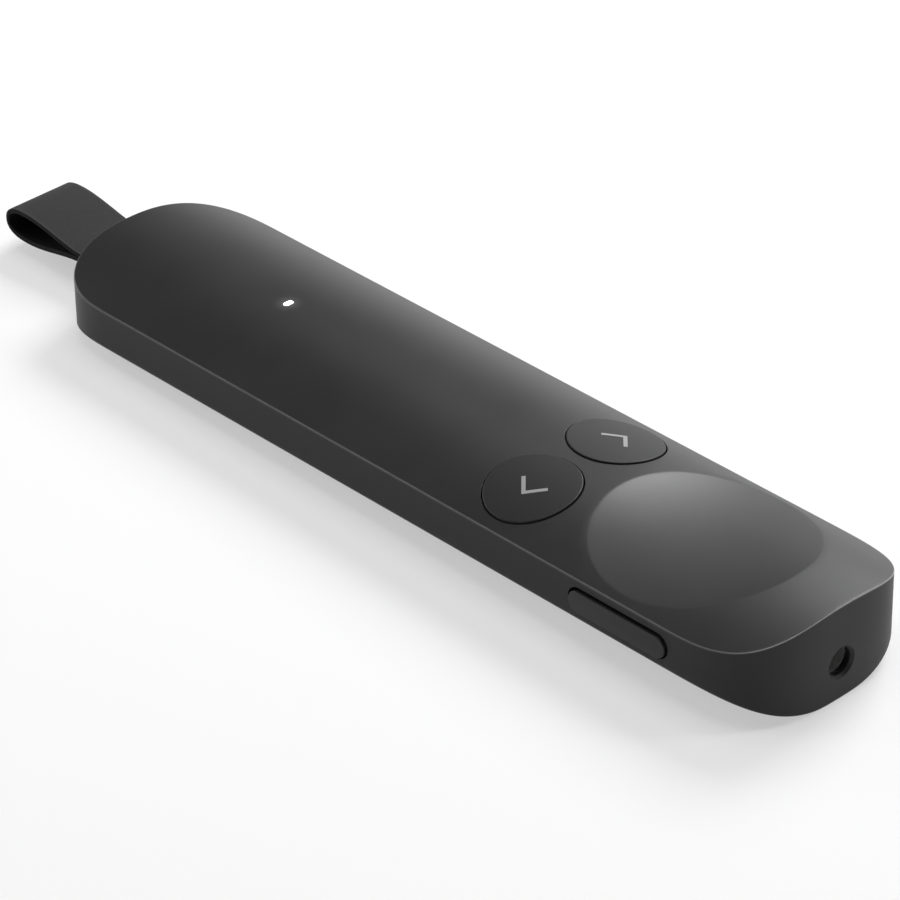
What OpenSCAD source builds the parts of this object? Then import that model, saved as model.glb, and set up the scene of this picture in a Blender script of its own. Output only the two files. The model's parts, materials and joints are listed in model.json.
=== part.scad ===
// Wireless presentation clicker: a crowned slab with two round keys, a touch dish,
// a side key, a laser in the nose and a stowed USB receiver pulled out by a fabric loop.
//
// Two frames are used. Every piece is drawn in the deck frame: x runs from the tail (0)
// to the nose, y from the middle line (next key on -y, back key on +y), and z is 0 on the
// crest of the top face. level() then lays the deck frame on its belly, so that the
// finished part has +Z up, rests on z = 0 and has its origin under the middle of its box.

/* [Body] */
// Length of the body, tail to nose
body_l = 119.5; // [116:0.5:124]
// Width of the body
body_w = 28.2; // [27.5:0.1:29]
// Rise of the arched top face from its edges to its crest
crown_h = 2.9; // [2.6:0.1:3.1]
// Height of the upright side wall
wall_h = 5.3; // [5.2:0.1:5.6]
// Depth of the arched belly below the side wall, at the tail
belly_tail = 2.4; // [2.3:0.1:3]
// Depth of the arched belly below the side wall, at the nose
belly_nose = 4.6; // [4.4:0.1:5]
// Height taken off the crest of the belly to make a flat to rest on
land_cut = 0.15; // [0.1:0.05:0.2]
// Thickness of the shell's walls
wall_t = 1; // [0.9:0.05:1.1]
// Thickness of the shell's floor
floor_t = 1.2; // [1:0.1:1.3]
// Thickness of the top cover
cover_t = 1.5; // [1.4:0.1:1.6]
// Thickness of the cover's lip, which lies on the shell's rim
lip_t = 0.5; // [0.4:0.05:0.6]

/* [Plan of the ends] */
// Length of the rounded tail
tail_depth = 12; // [11.5:0.1:13]
// Squareness of the tail, where 2 is an ellipse
tail_power = 2.9; // [2.5:0.05:3.2]
// Length of the rounded nose
nose_depth = 15; // [14:0.1:15.5]
// Squareness of the nose, where 2 is an ellipse
nose_power = 3.35; // [3:0.05:3.6]

/* [Round keys] */
// Distance of both round keys from the tail
key_x = 78.3; // [77:0.1:79]
// Distance of each round key from the middle line
key_y = 6.75; // [6.7:0.05:6.9]
// Radius of a round key
key_r = 5.75; // [5.6:0.05:5.9]
// Gap between a round key and the cover
key_gap = 0.3; // [0.25:0.05:0.35]
// Height of a round key above the cover
key_proud = 0.35; // [0.2:0.05:0.45]
// Travel of a round key
key_travel = 0.35; // [0.2:0.05:0.35]

/* [Touch dish] */
// Distance of the dish's middle from the tail
dish_x = 98.8; // [98:0.1:99.5]
// Radius of the dish
dish_r = 13.1; // [12.5:0.1:13.2]
// Depth of the dish at its middle
dish_depth = 0.8; // [0.5:0.1:0.9]

/* [Side key] */
// Distance of the side key's middle from the tail
side_x = 98.9; // [98.5:0.1:99.2]
// Height of the side key's middle line below the crest of the top face
side_z = 5.75; // [5.65:0.05:5.8]
// Length of the side key
side_l = 14.8; // [14:0.1:15]
// Height of the side key's face
side_h = 2.8; // [2.6:0.1:3]
// Gap between the side key and the shell
side_gap = 0.2; // [0.15:0.05:0.25]
// Height of the side key above the wall
side_proud = 0.3; // [0.1:0.05:0.3]
// Travel of the side key
side_travel = 0.3; // [0.2:0.05:0.3]

/* [Status light] */
// Distance of the status light from the tail
light_x = 29.6; // [28:0.1:31]
// Length of the light's window, across the body
light_l = 1.4; // [1.2:0.1:1.8]
// Width of the light's window
light_w = 0.8; // [0.7:0.05:0.9]

/* [Laser] */
// Height of the laser's axis below the crest of the top face
laser_z = 7.7; // [7.6:0.05:7.8]
// Radius of the laser's aperture
laser_r = 1.75; // [1.7:0.05:1.9]

/* [Receiver and loop] */
// Height of the receiver's axis below the crest of the top face
dock_z = 5.6; // [5.55:0.05:5.65]
// Width of the receiver's body
dock_w = 12.2; // [12:0.1:12.4]
// Height of the receiver's body
dock_h = 5; // [4.9:0.05:5.1]
// Length of the receiver's body
dock_l = 10.9; // [10.8:0.1:11]
// Width of the fabric loop
loop_w = 9.8; // [9:0.1:10]
// Thickness of the fabric
loop_t = 0.75; // [0.6:0.05:0.8]
// Length of the loop behind the tail
loop_l = 18.5; // [17:0.5:20]
// Height of the open loop
loop_h = 4.7; // [4.2:0.1:4.9]

/* [Hidden] */

half_w = body_w / 2;
crown_r = (half_w * half_w + crown_h * crown_h) / (2 * crown_h);
edge_z = crown_h + wall_h;
tail_h = edge_z + belly_tail;
nose_h = edge_z + belly_nose;
level_angle = atan((belly_nose - belly_tail) / body_l);
origin_x = (body_l - loop_l) / 2;

// numbers of steps and sides
end_steps = 20;
belly_steps = 24;
loop_steps = 12;
scoop_fn = 384;
crown_fn = 192;
fine_fn = 96;
mid_fn = 48;
small_fn = 32;

// clearances, and how far a cutter reaches past what it cuts
fit = 0.05;
over = 1;
belly_over = 0.02;
slice_t = 0.01;

// the cover's skirt, inside the shell's walls
skirt_inset = [wall_t + 0.1, wall_t + 0.9];
skirt_drop = 2.7;

// the main board and what is soldered on it
board_top = 4.8;
board_t = 0.8;
board_w = 22.8;
board_x = [13.2, 105];
board_notch = [20.2, 9.4];
under_board = board_top + board_t;
shield_x = [44, 58];
shield_w = 12;
shield_z = 3.4;
shield_t = 0.2;
chip_x = [47, 53];
chip_z = 3.9;
antenna_x = [22.5, 27.5];
antenna_y = [6.4, 8.4];
antenna_z = 3.8;
led_size = [0.8, 1.6];
led_z = 4.3;
lens_end = 4.2;
lens_flange = [1.2, 0.5];
// each component's place, length, width and height
board_part_list = [
    [22, -7.6, 3, 3, 0.9], [26, -6.8, 2, 1.2, 0.6], [37, -7, 4, 3, 0.8], [38, 4, 2, 1.2, 0.6],
    [61, -7, 3.2, 2.5, 0.7], [61, 2, 1.6, 0.8, 0.5], [65, 5, 3, 3, 0.9], [66.5, -2, 1.6, 0.8, 0.5]
];

// the frame under the board, open at the dock, at the side key and past it
frame_z = [under_board + fit, 7];
frame_inset = [wall_t + 0.2, wall_t + 2.2];
frame_bars = [[33.6, 35.6], [81.8, 83.4]];
frame_w = 22.8;
frame_dock = [14, 15.6];
side_window = [90, 108.2];
side_window_z = 3.9;

// screws through the frame and the board into the cover's posts
screw_tail = [31, 9.2];
screw_nose = [87.6, 9.6];
screw_r = 0.5;
screw_tip = 3.6;
screw_pass_r = 0.7;
head_r = 1.2;
head_z = [frame_z[1] + fit, frame_z[1] + fit + 0.7];
drive = [1.4, 0.3, 0.35];
post_r = 1.5;
lug_r = 2.2;

// the battery under the board
battery_x = [38, 74];
battery_w = 16;
battery_z = [6.1, 8.9];
pad_margin = [3, 2];
socket_x = [75.4, 78.4];
socket_y = [-5, -1];
socket_z = 7.1;
red_y = -4.2;
black_y = -2.6;
lead_w = 0.8;
lead_z = [6.3, 7];

// round key parts below the cover
key_foot = 2.9;
key_bar = [14.6, 4, 0.5];
key_stem_r = 1.3;
key_stem_end = 3.7;
well_floor = 4.3;
plunger_r = 0.9;
switch_w = 4;
switch_z = 4.1;
switch_bore_r = 1;
switch_roof = 0.2;
dome_r = 1.5;
dome_t = 0.08;
dome_clear = 0.12;
plunger_end = board_top - dome_t - dome_clear - key_travel;
mark_t = 0.4;
mark_arm = 1.95;
mark_tip = 1.5;
mark_stroke = 0.55;

// side key parts behind the wall, all measured from the middle line
side_flange_l = side_l + 2.4;
side_flange_y = [half_w - wall_t - fit, half_w - wall_t - fit - 0.5];
side_stem = [3, 0.8];
side_stem_y = side_flange_y[1] - 0.5;
side_axis_z = 6.4;
side_plunger_r = 0.5;
side_plunger_y = side_stem_y - 1.05;
side_switch_y = [side_stem_y - 0.65, side_stem_y - 3.95];
side_switch_l = 3.8;
side_switch_h = 1.5;
side_bore_y = side_plunger_y - side_travel - 0.2;

// touch sensor on the dish's pad, and the motor under the board
pad_r = 9.4;
pad_z = 2.9;
sensor_r = 9;
sensor_z = [pad_z + fit, pad_z + fit + 0.5];
flex_t = 0.15;
sensor_flex_x = [90.6, 94.6];
sensor_flex_w = 4;
motor_at = [92, 2];
motor_r = 5;
motor_pad_r = 4.6;
motor_z = [under_board + 0.3, under_board + 3.1];

// laser in the nose
aperture_chamfer = 0.35;
holder_x = [108, 114];
holder_w = 8;
holder_z = [5, 10.85];
barrel_r = 3;
barrel_x = [106.5, 118.3];
barrel_clear = 0.4;
lens_x = [114.6, 115.8];
lens_bulge_r = 6;
diode_flange_x = [107, 107.8];
diode_can_x = [107.8, 110];
diode_can_r = 1.4;
laser_board_x = [105.6, 106.4];
laser_board_w = 5.2;
laser_board_z = [5.2, 10.2];
laser_flex_x = 102;
laser_flex_w = 2.4;
laser_flex_z = 6.8;

// dock at the tail
bay_wall = 0.55;
bay_clear = 0.1;
bay_inner = [dock_w + 2 * bay_clear, dock_h + 2 * bay_clear];
bay_outer = [bay_inner[0] + 2 * bay_wall, bay_inner[1] + 2 * bay_wall];
bay_x = [wall_t + 0.7, 12.2];
bay_back = 11.2;
dock_round = 0.7;
port = [8.94, 3.16];
port_x = [11.3, 19.3];
port_wall = 0.3;
port_back = 18.3;
tongue = [6.7, 0.7];
tongue_x = 12.5;
plug = [8.25, 2.4];
plug_x = [9.8, 17.4];
plug_fit = 0.02;
slot_x = 7;
cavity_x = 7.5;
cavity = [9, 2.8];
stick_board = [7, 0.6];
stick_board_x = [7.6, 11.8];
pin_x = 4.2;
pin_r = 0.8;
pin_half = 2;

// the loop's two plies leave the tail together, open into an eye and close in a fold
loop_tail_x = 6.8;
loop_part = 3.5;
loop_eye = 4.3;
loop_full = loop_l - 4;
loop_power = 2.5;

casing = [0.2, 0.2, 0.21];
keycap = [0.16, 0.16, 0.17];
metal = [0.75, 0.75, 0.77];
gold = [0.8, 0.62, 0.3];
amber = [0.6, 0.35, 0.1];
green = [0.05, 0.25, 0.15];
black = [0.06, 0.06, 0.06];
pale = [0.72, 0.72, 0.72];
clear_green = [0.6, 0.8, 0.7, 0.6];

// ---- helpers ----

// lays the deck frame on its belly and moves the origin under the middle of the part
module level() {
    translate([-origin_x, 0, -land_cut]) rotate([0, -level_angle, 0])
        translate([0, 0, tail_h]) children();
}

// the two ends of a width laid across the middle line
function across(w) = [-w / 2, w / 2];

// quarter of a rounded end, from its tip to the side of the body
function end_curve(depth, half, power) = [
    for (i = [0:end_steps])
        let (a = 90 * i / end_steps)
        [depth * (1 - pow(cos(a), 2 / power)), half * pow(sin(a), 2 / power)]
];

// plan of the body, moved inwards by inset
function plan_points(inset) =
    let (
        half = half_w - inset,
        tail = end_curve(tail_depth - inset, half, tail_power),
        nose = end_curve(nose_depth - inset, half, nose_power)
    )
    concat(
        [for (i = [end_steps:-1:0]) [inset + tail[i][0], tail[i][1]]],
        [for (i = [1:end_steps]) [inset + tail[i][0], -tail[i][1]]],
        [for (i = [end_steps:-1:0]) [body_l - inset - nose[i][0], -nose[i][1]]],
        [for (i = [1:end_steps]) [body_l - inset - nose[i][0], nose[i][1]]]
    );

// upright slab with the plan of the body, between two depths below the crest
module slab(inset, depths) {
    translate([0, 0, -depths[1]]) linear_extrude(depths[1] - depths[0])
        polygon(plan_points(inset));
}

// everything below the crown, lowered by drop
module under_crown(drop = 0, past = over) {
    translate([-past, 0, -crown_r]) rotate([0, 90, 0])
        cylinder(r = crown_r - drop, h = body_l + 2 * past, $fn = crown_fn);
}

// skin of the crown between two drops
module crown_skin(inset, drops) {
    intersection() {
        slab(inset, [0, edge_z]);
        difference() {
            under_crown(drops[0]);
            under_crown(drops[1], 2 * over);
        }
    }
}

// arched section of the belly with a given depth below the side wall
function belly_section(depth) =
    let (
        half = half_w + belly_over,
        r = (half * half + depth * depth) / (2 * depth),
        sweep = asin(half / r)
    )
    concat(
        [[half, over], [-half, over]],
        [
            for (i = [-belly_steps:belly_steps])
                let (a = sweep * i / belly_steps)
                [r * sin(a), r - depth - edge_z - r * cos(a)]
        ]
    );

module belly_slice(x, depth) {
    translate([x, 0, 0]) rotate([90, 0, 90]) linear_extrude(slice_t)
        polygon(belly_section(depth));
}

// everything above the belly, raised by rise
module over_belly(rise = 0) {
    translate([0, 0, rise]) hull() {
        belly_slice(0, belly_tail);
        belly_slice(body_l - slice_t, belly_nose);
    }
}

// block between two corners, with depths below the crest
module block(x, y, depths) {
    translate([x[0], y[0], -depths[1]])
        cube([x[1] - x[0], y[1] - y[0], depths[1] - depths[0]]);
}

// upright round bar between two depths below the crest
module post(at, r, depths, fn = mid_fn) {
    translate([at[0], at[1], -depths[1]]) cylinder(r = r, h = depths[1] - depths[0], $fn = fn);
}

// round bar along x
module bar_x(x, r, depth, fn = mid_fn) {
    translate([x[0], 0, -depth]) rotate([0, 90, 0]) cylinder(r = r, h = x[1] - x[0], $fn = fn);
}

// flat shape with two straight sides and two round ends, along its first direction
module pill(l, w) {
    for (s = [-1, 1]) translate([s * (l - w) / 2, 0]) circle(w / 2, $fn = mid_fn);
    square([l - w, w], center = true);
}

// rectangle with rounded corners
module round_rect(size, r) {
    square([size[0] - 2 * r, size[1]], center = true);
    square([size[0], size[1] - 2 * r], center = true);
    for (sx = [-1, 1], sy = [-1, 1])
        translate([sx * (size[0] / 2 - r), sy * (size[1] / 2 - r)]) circle(r, $fn = small_fn);
}

// flat shape on the dock's axis, run along x
module dock_run(x) {
    translate([x[0], 0, -dock_z]) rotate([90, 0, 90]) linear_extrude(x[1] - x[0]) children();
}

// flat shape on the side key's face, run inwards between two distances from the middle line
module side_run(y, depth = side_z) {
    translate([side_x, -y[1], -depth]) rotate([90, 0, 0]) linear_extrude(y[0] - y[1])
        children();
}

// both wells of the round keys, down to a depth
module key_wells(depth) {
    for (s = [-1, 1])
        post([key_x, s * key_y], key_r + key_gap, [-over, depth], fine_fn);
}

module at_screws() {
    for (p = [screw_tail, screw_nose], s = [-1, 1]) translate([p[0], s * p[1], 0]) children();
}

// ring whose inner side is the dish: it scoops the crown to a round outline in plan
module dish_scoop() {
    along = (dish_r * dish_r + dish_depth * dish_depth) / (2 * dish_depth);
    crosswise = 1 / (1 / crown_r - 1 / along);
    translate([dish_x, 0, along - dish_depth]) rotate([90, 0, 0])
        rotate_extrude($fn = scoop_fn) difference() {
            translate([along - 3 * over, -half_w - over]) square([6 * over, body_w + 2 * over]);
            translate([along + crosswise, 0]) circle(crosswise, $fn = scoop_fn);
        }
}

// ---- casing ----

module body_shell() {
    color(casing) difference() {
        level() difference() {
            intersection() {
                slab(0, [0, nose_h + over]);
                under_crown(lip_t);
                over_belly();
            }
            intersection() {
                slab(wall_t, [-over, nose_h + over]);
                over_belly(floor_t);
            }
            key_wells(well_floor);
            side_run([half_w + over, half_w - wall_t - over])
                pill(side_l + 2 * side_gap, side_h + 2 * side_gap);
            bar_x([body_l - 3 * over, body_l + over], laser_r, laser_z, fine_fn);
            translate([body_l - aperture_chamfer, 0, -laser_z]) rotate([0, 90, 0])
                cylinder(r1 = laser_r, r2 = laser_r + 2 * aperture_chamfer,
                         h = 2 * aperture_chamfer, $fn = fine_fn);
            dock_run([-over, 4 * over])
                round_rect([dock_w + 3 * bay_clear, dock_h + 3 * bay_clear], dock_round);
        }
        translate([-body_l, -body_w, -2 * over]) cube([2 * body_l, 2 * body_w, 2 * over]);
    }
}

module top_cover() {
    color(casing) level() difference() {
        union() {
            crown_skin(0, [0, lip_t]);
            crown_skin(skirt_inset[0], [lip_t / 2, cover_t]);
            difference() {
                crown_skin(skirt_inset[0], [cover_t / 2, skirt_drop]);
                slab(skirt_inset[1], [-over, edge_z + over]);
            }
            intersection() {
                union() {
                    post([dish_x, 0], pad_r, [0, pad_z], fine_fn);
                    at_screws() post([0, 0], post_r, [0, board_top]);
                }
                under_crown(cover_t / 2);
            }
        }
        dish_scoop();
        key_wells(edge_z);
        at_screws() post([0, 0], screw_r + fit, [screw_tip - fit, edge_z], small_fn);
        translate([light_x, 0, -edge_z]) rotate([0, 0, 90]) linear_extrude(edge_z + over)
            pill(light_l + fit, light_w + fit);
        block(side_window, [-half_w + wall_t / 2, -half_w + 3 * wall_t], [side_window_z, edge_z]);
        dock_run([-over, bay_x[1] + over])
            square([bay_outer[0] + bay_clear, bay_outer[1] + bay_clear], center = true);
    }
}

// ---- frame and electronics ----

module inner_frame() {
    color(black) level() difference() {
        union() {
            difference() {
                slab(frame_inset[0], frame_z);
                slab(frame_inset[1], [0, edge_z]);
            }
            for (x = frame_bars) block(x, across(frame_w), frame_z);
            at_screws() post([0, 0], lug_r, frame_z);
        }
        at_screws() post([0, 0], screw_pass_r, [0, edge_z], small_fn);
        block([0, frame_dock[0]], across(frame_dock[1]), [0, edge_z]);
        block([side_window[0], body_l], [-half_w, barrel_r + barrel_clear], [0, edge_z]);
    }
}

// screw with a crossed drive, at a place on one side of the middle line
module frame_screw(at, side) {
    color(metal) level() translate([at[0], side * at[1], 0]) difference() {
        union() {
            post([0, 0], screw_r, [screw_tip, head_z[0]], small_fn);
            post([0, 0], head_r, head_z);
        }
        for (a = [0, 90]) rotate([0, 0, a])
            block(across(drive[0]), across(drive[1]), [head_z[1] - drive[2], head_z[1] + over]);
    }
}

module screw_tail_left() { frame_screw(screw_tail, 1); }
module screw_tail_right() { frame_screw(screw_tail, -1); }
module screw_nose_left() { frame_screw(screw_nose, 1); }
module screw_nose_right() { frame_screw(screw_nose, -1); }

module main_board() {
    color(green) level() difference() {
        intersection() {
            slab(half_w - board_w / 2, [board_top, under_board]);
            block(board_x, across(body_w), [board_top, under_board]);
        }
        block([0, board_notch[0]], across(board_notch[1]), [0, edge_z]);
        at_screws() post([0, 0], screw_pass_r, [0, edge_z], small_fn);
    }
}

module radio_shield() {
    inner_x = [shield_x[0] + shield_t, shield_x[1] - shield_t];
    color(metal) level() difference() {
        block(shield_x, across(shield_w), [shield_z, board_top]);
        block(inner_x, across(shield_w - 2 * shield_t), [shield_z + shield_t, board_top + over]);
    }
}

module radio_chip() {
    color(black) level() block(chip_x, across(chip_x[1] - chip_x[0]), [chip_z, board_top]);
}

module board_parts() {
    color(black) level() for (p = board_part_list)
        block([p[0], p[0] + p[2]], [p[1], p[1] + p[3]], [board_top - p[4], board_top]);
}

module antenna() {
    color("white") level() block(antenna_x, antenna_y, [antenna_z, board_top]);
}

module battery() {
    color(metal) level() block(battery_x, across(battery_w), battery_z);
}

module battery_pad() {
    pad_x = [battery_x[0] + pad_margin[0], battery_x[1] - pad_margin[0]];
    color("dimgray") level()
        block(pad_x, across(battery_w - 2 * pad_margin[1]), [under_board, battery_z[0]]);
}

module battery_socket() {
    color("ivory") level() block(socket_x, socket_y, [under_board, socket_z]);
}

module battery_lead(y) {
    level() block([battery_x[1], socket_x[0]], [y, y + lead_w], lead_z);
}

module red_lead() { color("red") battery_lead(red_y); }
module black_lead() { color(black) battery_lead(black_y); }

module status_led() {
    color("white") level() translate([light_x, 0, 0])
        block(across(led_size[0]), across(led_size[1]), [led_z, board_top]);
}

module led_lens() {
    color("white") level() intersection() {
        under_crown();
        translate([light_x, 0, 0]) rotate([0, 0, 90]) {
            translate([0, 0, -lens_end]) linear_extrude(lens_end + over)
                pill(light_l, light_w);
            translate([0, 0, -cover_t - 2 * fit - lens_flange[1]])
                linear_extrude(lens_flange[1])
                pill(light_l + lens_flange[0], light_w + lens_flange[0]);
        }
    }
}

// ---- touch dish ----

module touch_sensor() {
    color(gold) level() post([dish_x, 0], sensor_r, sensor_z, fine_fn);
}

module sensor_flex() {
    color(amber) level() {
        block(sensor_flex_x, across(sensor_flex_w), [sensor_z[1], sensor_z[1] + flex_t]);
        block([sensor_flex_x[0] - flex_t, sensor_flex_x[0]], across(sensor_flex_w),
              [sensor_z[1], board_top]);
    }
}

module motor_pad() {
    color("dimgray") level() post(motor_at, motor_pad_r, [under_board, motor_z[0]]);
}

module haptic_motor() {
    color(metal) level() post(motor_at, motor_r, motor_z);
}

// ---- laser ----

module laser_holder() {
    color(black) level() difference() {
        block(holder_x, across(holder_w), holder_z);
        bar_x([holder_x[0] - over, holder_x[1] + over], barrel_r + fit / 2, laser_z, fine_fn);
    }
}

module laser_barrel() {
    color(gold) level() difference() {
        bar_x(barrel_x, barrel_r, laser_z, fine_fn);
        bar_x([barrel_x[0] - over, barrel_x[1] + over], laser_r, laser_z, fine_fn);
    }
}

module laser_lens() {
    color(clear_green) level() intersection() {
        bar_x(lens_x, laser_r - fit / 2, laser_z, fine_fn);
        translate([lens_x[1] - lens_bulge_r, 0, -laser_z]) sphere(lens_bulge_r, $fn = fine_fn);
    }
}

module laser_diode() {
    color(metal) level() {
        bar_x(diode_flange_x, laser_r - fit, laser_z);
        bar_x(diode_can_x, diode_can_r, laser_z);
    }
}

module laser_board() {
    color(green) level() block(laser_board_x, across(laser_board_w), laser_board_z);
}

module laser_flex() {
    color(amber) level() {
        block([laser_flex_x, laser_board_x[0]], across(laser_flex_w),
              [under_board, under_board + flex_t]);
        block([laser_board_x[0] - flex_t, laser_board_x[0]], across(laser_flex_w),
              [under_board + flex_t, laser_flex_z]);
    }
}

// ---- switches on the board ----

module round_switch(side) {
    color(black) level() translate([key_x, side * key_y, 0]) difference() {
        block(across(switch_w), across(switch_w), [switch_z, board_top]);
        post([0, 0], switch_bore_r, [0, board_top - switch_roof], small_fn);
        post([0, 0], dome_r + fit, [switch_z + switch_roof, board_top + over], small_fn);
    }
}

module round_dome(side) {
    color(metal) level()
        post([key_x, side * key_y], dome_r, [board_top - dome_t, board_top], small_fn);
}

module back_switch() { round_switch(1); }
module next_switch() { round_switch(-1); }
module back_dome() { round_dome(1); }
module next_dome() { round_dome(-1); }

module side_switch() {
    color(black) level() difference() {
        translate([side_x, 0, 0])
            block(across(side_switch_l), [-side_switch_y[0], -side_switch_y[1]],
                  [under_board, under_board + side_switch_h]);
        side_run([side_switch_y[0] + over, side_bore_y], side_axis_z)
            circle(side_plunger_r + fit, $fn = small_fn);
    }
}

// ---- dock ----

module receiver_bay() {
    color(black) level() difference() {
        dock_run(bay_x) round_rect(bay_outer, dock_round + bay_clear + bay_wall);
        dock_run([0, bay_back]) round_rect(bay_inner, dock_round + bay_clear);
        dock_run([bay_back - over, bay_x[1] + over]) pill(port[0] + 2 * fit, port[1] + 2 * fit);
    }
}

module charge_port() {
    color(metal) level() difference() {
        dock_run(port_x) pill(port[0], port[1]);
        dock_run([port_x[0] - over, port_back])
            pill(port[0] - 2 * port_wall, port[1] - 2 * port_wall);
    }
}

module port_tongue() {
    color(black) level() dock_run([tongue_x, port_back]) square(tongue, center = true);
}

// ---- moving: round keys ----

// chevron pointing away from the middle line, run down through a key
module mark_tool(side) {
    step = mark_stroke / sqrt(2);
    end_y = mark_tip - mark_arm;
    points = [
        [0, mark_tip + step], [mark_arm + step / 2, end_y + step / 2],
        [mark_arm - step / 2, end_y - step / 2], [0, mark_tip - step],
        [-mark_arm + step / 2, end_y - step / 2], [-mark_arm - step / 2, end_y + step / 2]
    ];
    translate([key_x, side * key_y, -key_foot]) linear_extrude(key_foot + over)
        polygon([for (p = points) [p[0], side * p[1]]]);
}

module round_key(side) {
    at = [key_x, side * key_y];
    color(keycap) level() difference() {
        union() {
            intersection() {
                post(at, key_r, [-over, key_foot], fine_fn);
                under_crown(-key_proud);
            }
            translate([at[0], at[1], -key_foot - key_bar[2] / 2]) cube(key_bar, center = true);
            post(at, key_stem_r, [key_foot, key_stem_end]);
        }
        difference() {
            mark_tool(side);
            under_crown(mark_t - key_proud);
        }
    }
}

module round_mark(side) {
    color(pale) level() intersection() {
        mark_tool(side);
        difference() {
            under_crown(-key_proud);
            under_crown(mark_t - key_proud, 2 * over);
        }
    }
}

module round_plunger(side) {
    color("ivory") level()
        post([key_x, side * key_y], plunger_r, [key_stem_end, plunger_end], small_fn);
}

module back_button() { round_key(1); }
module back_mark() { round_mark(1); }
module back_plunger() { round_plunger(1); }
module next_button() { round_key(-1); }
module next_mark() { round_mark(-1); }
module next_plunger() { round_plunger(-1); }

// ---- moving: side key ----

module side_button() {
    color(keycap) level() {
        side_run([half_w + side_proud, side_flange_y[1]]) pill(side_l, side_h);
        side_run(side_flange_y) pill(side_flange_l, side_h);
        side_run([side_flange_y[0], side_stem_y], side_axis_z) square(side_stem, center = true);
    }
}

module side_plunger() {
    color("ivory") level() side_run([side_stem_y, side_plunger_y], side_axis_z)
        circle(side_plunger_r, $fn = small_fn);
}

// ---- moving: receiver and its loop ----

module receiver_shell() {
    color(casing) level() difference() {
        intersection() {
            dock_run([0, dock_l]) round_rect([dock_w, dock_h], dock_round);
            slab(fit, [0, tail_h]);
        }
        dock_run([-over, slot_x])
            square([loop_w + 2 * bay_clear, 2 * (loop_t + fit)], center = true);
        dock_run([cavity_x, plug_x[0] + bay_clear]) square(cavity, center = true);
        dock_run([plug_x[0], dock_l + over]) pill(plug[0] + 2 * plug_fit, plug[1] + 2 * plug_fit);
        post([pin_x, 0], pin_r + plug_fit, [dock_z - pin_half - bay_clear,
             dock_z + pin_half + bay_clear], small_fn);
    }
}

module receiver_plug() {
    color(metal) level() difference() {
        dock_run(plug_x) pill(plug[0], plug[1]);
        dock_run([plug_x[0] - over, plug_x[1] + over])
            pill(plug[0] - 2 * port_wall, plug[1] - 2 * port_wall);
    }
}

module receiver_board() {
    color(green) level() dock_run(stick_board_x) square(stick_board, center = true);
}

module strap_pin() {
    color(metal) level()
        post([pin_x, 0], pin_r, [dock_z - pin_half, dock_z + pin_half], small_fn);
}

// half height of the loop at a distance d behind the tail, for an outline moved inwards
function loop_half(d, inset) =
    let (
        t = min(1, max(0, (d - loop_part) / (loop_full - loop_part))),
        open = loop_t + (loop_h / 2 - loop_t) * t * t * (3 - 2 * t),
        fold = min(1, max(0, (d - loop_full) / (loop_l - loop_full - inset)))
    )
    (open - inset) * pow(max(0, 1 - pow(fold, loop_power)), 1 / loop_power);

// distances behind the tail at which the loop's outline has points
function loop_stations(first, inset) = concat(
    [for (i = [0:loop_steps - 1]) first + (loop_full - first) * i / loop_steps],
    [
        for (i = [0:loop_steps])
            loop_full + (loop_l - loop_full - inset) * pow(sin(90 * i / loop_steps), 2 / loop_power)
    ]
);

function loop_outline(first, inset) =
    let (d = loop_stations(first, inset), n = len(d))
    concat(
        [for (i = [0:n - 1]) [-d[i], loop_half(d[i], inset)]],
        [for (i = [n - 2:-1:0]) [-d[i], -loop_half(d[i], inset)]]
    );

module strap_loop() {
    color(black) level() difference() {
        translate([0, loop_w / 2, -dock_z]) rotate([90, 0, 0]) linear_extrude(loop_w)
            difference() {
                union() {
                    polygon(loop_outline(0, 0));
                    translate([-fit, -loop_t]) square([loop_tail_x + fit, 2 * loop_t]);
                }
                polygon(loop_outline(loop_eye, loop_t));
            }
        post([pin_x, 0], pin_r + fit / 2, [0, tail_h], small_fn);
    }
}

body_shell();
top_cover();
inner_frame();
screw_tail_left();
screw_tail_right();
screw_nose_left();
screw_nose_right();
main_board();
radio_shield();
radio_chip();
board_parts();
antenna();
battery();
battery_pad();
battery_socket();
red_lead();
black_lead();
status_led();
led_lens();
touch_sensor();
sensor_flex();
haptic_motor();
motor_pad();
laser_holder();
laser_barrel();
laser_lens();
laser_diode();
laser_board();
laser_flex();
back_switch();
next_switch();
side_switch();
back_dome();
next_dome();
receiver_bay();
charge_port();
port_tongue();
back_button();
back_mark();
back_plunger();
next_button();
next_mark();
next_plunger();
side_button();
side_plunger();
receiver_shell();
receiver_plug();
receiver_board();
strap_pin();
strap_loop();
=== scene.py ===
"""Looks of a wireless presentation clicker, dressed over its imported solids.

Pieces are drawn in millimetres in the deck frame: x runs from the tail to the nose, y from
the middle line towards the back key, and z is 0 on the crest of the top face. deck_matrix
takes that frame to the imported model's own frame in metres.
"""

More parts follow.
